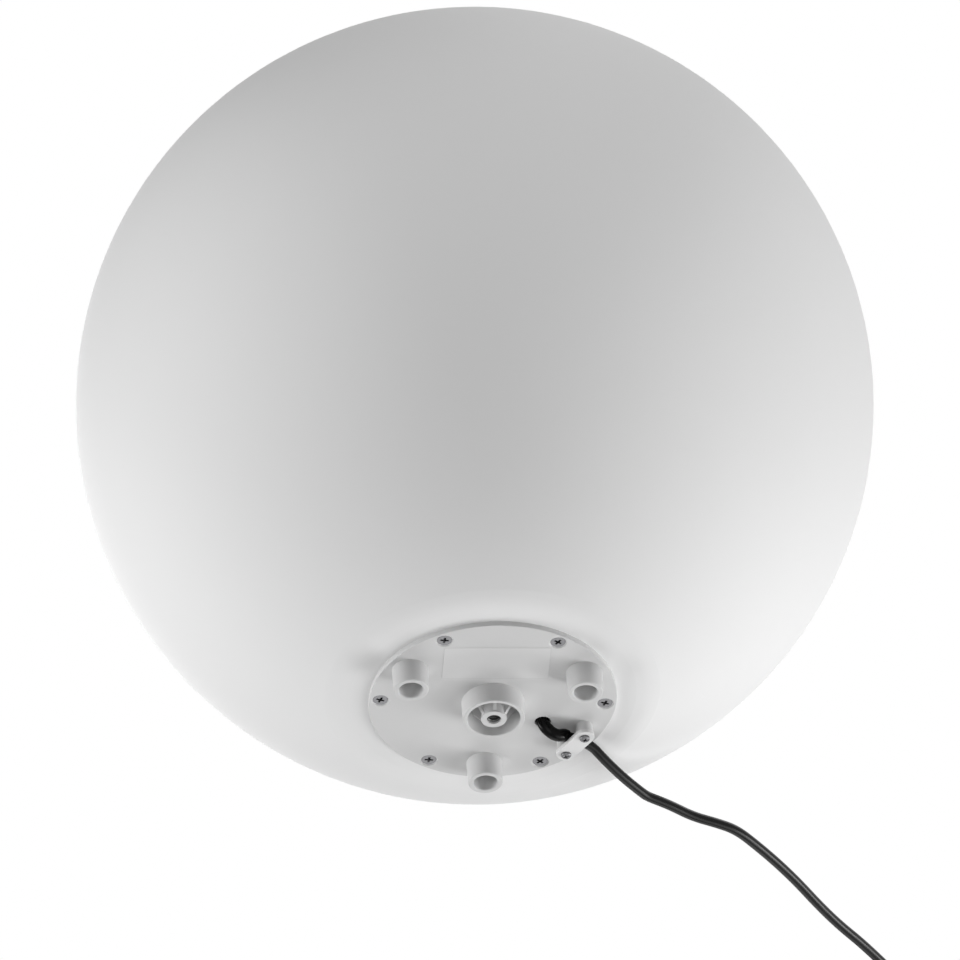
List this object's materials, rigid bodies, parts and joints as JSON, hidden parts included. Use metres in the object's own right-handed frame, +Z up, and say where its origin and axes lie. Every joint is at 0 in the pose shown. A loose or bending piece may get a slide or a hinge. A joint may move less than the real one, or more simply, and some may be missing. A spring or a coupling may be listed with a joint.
{
  "type": "garden globe light",
  "caption": "Hollow plastic globe light on a moulded base plate with three feet, a threaded boss for a ground spike, a clamped rubber mains lead with its plug, and a screw-in bulb inside.",
  "frame": {"origin": "on the ground, midway between the three feet and under the ball's centre", "axes": "+Z up along the ball's axis; +Y towards the foot that is furthest from the clamp's side; the lead leaves the plate 30 degrees from +X towards +Y"},
  "size_m": [0.6822, 0.684, 0.5],
  "materials": {
    "ball_plastic": "satin, very fine moulded grain",
    "plate_plastic": "satin, fine spark-eroded grain",
    "foam_rubber": "matt",
    "insert_brass": "turned, nickel plated",
    "screw_steel": "pickled stainless steel",
    "cord_rubber": "satin",
    "sleeve_plastic": "glossy heat-shrink sleeve",
    "core_insulation": "smooth",
    "block_plastic": "smooth",
    "contact_brass": "bright",
    "holder_plastic": "smooth",
    "holder_metal": "rolled",
    "cap_metal": "rolled",
    "cap_glass": "opaque black glass",
    "bulb_plastic": "smooth",
    "bulb_diffuser": "frosted",
    "tie_plastic": "woven hook and loop strap",
    "plug_rubber": "satin",
    "pin_metal": "nickel plated"
  },
  "bodies": {
    "lamp": {"globe_shell": "ball_plastic", "base_plate": "plate_plastic", "gasket": "foam_rubber", "spike_insert": "insert_brass", "plate_screws": "screw_steel", "clamp_bar": "plate_plastic", "clamp_screws": "screw_steel", "cord_held": "cord_rubber", "cable_sleeve": "sleeve_plastic", "supply_cores": "core_insulation", "terminal_block": "block_plastic", "terminal_screws": "contact_brass", "holder_cores": "core_insulation", "holder_pillar": "plate_plastic", "pillar_screws": "screw_steel", "holder_screws": "screw_steel", "lamp_holder": "holder_plastic", "thread_sleeve": "holder_metal", "centre_contact": "contact_brass", "cord_free": "cord_rubber", "cord_coil": "cord_rubber", "coil_tie": "tie_plastic", "plug_body": "plug_rubber", "plug_pins": "pin_metal"},
    "bulb": {"bulb_cap": "cap_metal", "cap_insulator": "cap_glass", "cap_eyelet": "cap_metal", "bulb_body": "bulb_plastic", "bulb_dome": "bulb_diffuser"}
  },
  "joints": [
    {"name": "bulb_out", "type": "slide", "parent": "lamp", "child": "bulb", "axis": [0, 0, 1], "range_m": [0, 0.024]}
  ]
}
